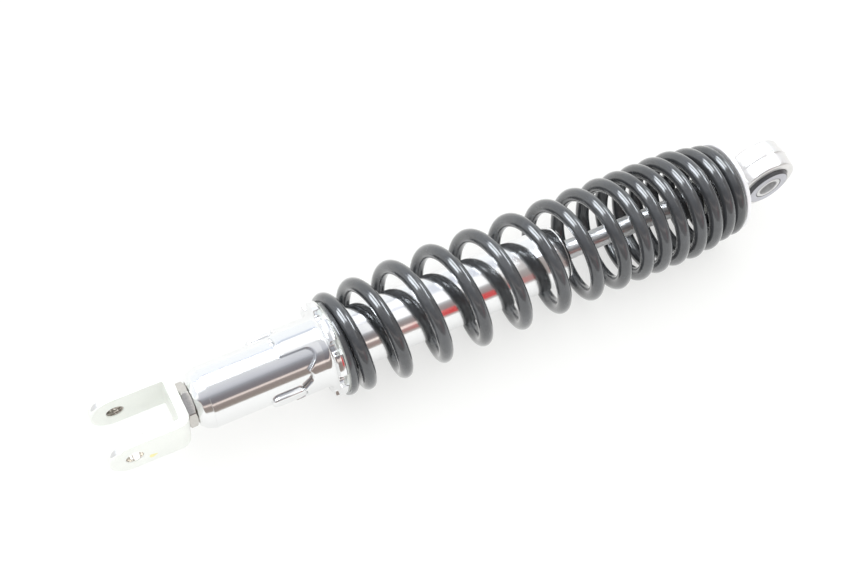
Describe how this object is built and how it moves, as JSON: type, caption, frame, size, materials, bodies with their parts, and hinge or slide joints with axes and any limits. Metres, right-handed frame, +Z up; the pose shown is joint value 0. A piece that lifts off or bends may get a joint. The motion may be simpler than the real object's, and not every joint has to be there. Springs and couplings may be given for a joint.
{
  "type": "rear shock absorber",
  "caption": "Rear shock absorber for a small motorcycle: chromed twin-tube damper with fork end, stepped preload adjuster, progressive coil spring and rubber-bushed eye.",
  "frame": {"origin": "centre of the fork end's bolt holes, midway between the ears", "axes": "+X along the shock from the fork end to the eye end; Y along both bolts; +Z up as it lies on its spring"},
  "size_m": [0.381, 0.057, 0.057],
  "materials": {
    "zinc_plate": "satin zinc plate",
    "nut_steel": "zinc-plated steel",
    "machined_steel": "turned steel",
    "chrome": "bright chrome plate",
    "sintered_iron": "sintered, oiled",
    "spring_steel": "ground, blued",
    "bronze": "sintered bronze",
    "black_rubber": "moulded",
    "grey_rubber": "moulded",
    "black_paint": "gloss powder coat",
    "ptfe": "filled PTFE",
    "cast_aluminium": "satin cast, silver painted"
  },
  "bodies": {
    "damper_body": {"clevis": "zinc_plate", "clevis_lock_nut": "nut_steel", "base_plug": "machined_steel", "outer_tube": "chrome", "stop_lugs": "chrome", "inner_cylinder": "machined_steel", "base_valve_body": "sintered_iron", "base_valve_shims": "spring_steel", "base_valve_rivet": "machined_steel", "rod_guide": "sintered_iron", "guide_bushing": "bronze", "guide_o_ring": "black_rubber", "oil_seal": "black_rubber", "seal_cap": "zinc_plate", "dust_wiper": "black_rubber", "main_spring": "black_paint"},
    "seat_carrier": {"spring_seat_washer": "zinc_plate"},
    "adjuster_sleeve": {"preload_adjuster": "chrome"},
    "upper_seat": {"upper_spring_seat": "zinc_plate"},
    "rod_assembly": {"piston_rod": "chrome", "piston": "sintered_iron", "piston_ring": "ptfe", "piston_shims": "spring_steel", "piston_nut": "nut_steel", "rebound_stop": "nut_steel", "bump_stop": "black_rubber", "bump_stop_cup": "zinc_plate", "eye_lock_nut": "nut_steel", "upper_eye": "cast_aluminium", "rubber_bush": "grey_rubber"},
    "eye_bolt_sleeve": {"eye_sleeve": "machined_steel"}
  },
  "joints": [
    {"name": "damper_stroke", "type": "slide", "parent": "damper_body", "child": "upper_seat", "axis": [-1, 0, 0], "range_m": [0, 0.07], "deforming": ["main_spring"]},
    {"name": "rod_spin", "type": "hinge", "parent": "upper_seat", "child": "rod_assembly", "pos_m": [0.3, 0, 0], "axis": [1, 0, 0], "continuous": true},
    {"name": "eye_twist", "type": "hinge", "parent": "rod_assembly", "child": "eye_bolt_sleeve", "pos_m": [0.3519, 0, 0], "axis": [0, 1, 0], "range_deg": [-15, 15]},
    {"name": "preload_lift", "type": "slide", "parent": "damper_body", "child": "seat_carrier", "axis": [1, 0, 0], "range_m": [-0.0074, 0.0074], "deforming": ["main_spring"]},
    {"name": "preload_turn", "type": "hinge", "parent": "seat_carrier", "child": "adjuster_sleeve", "pos_m": [0.09, 0, 0], "axis": [1, 0, 0], "range_deg": [-68, 68]}
  ],
  "couplings": [
    {"joint": "preload_lift", "follows": "preload_turn", "m_per_rad": -0.0061509}
  ]
}
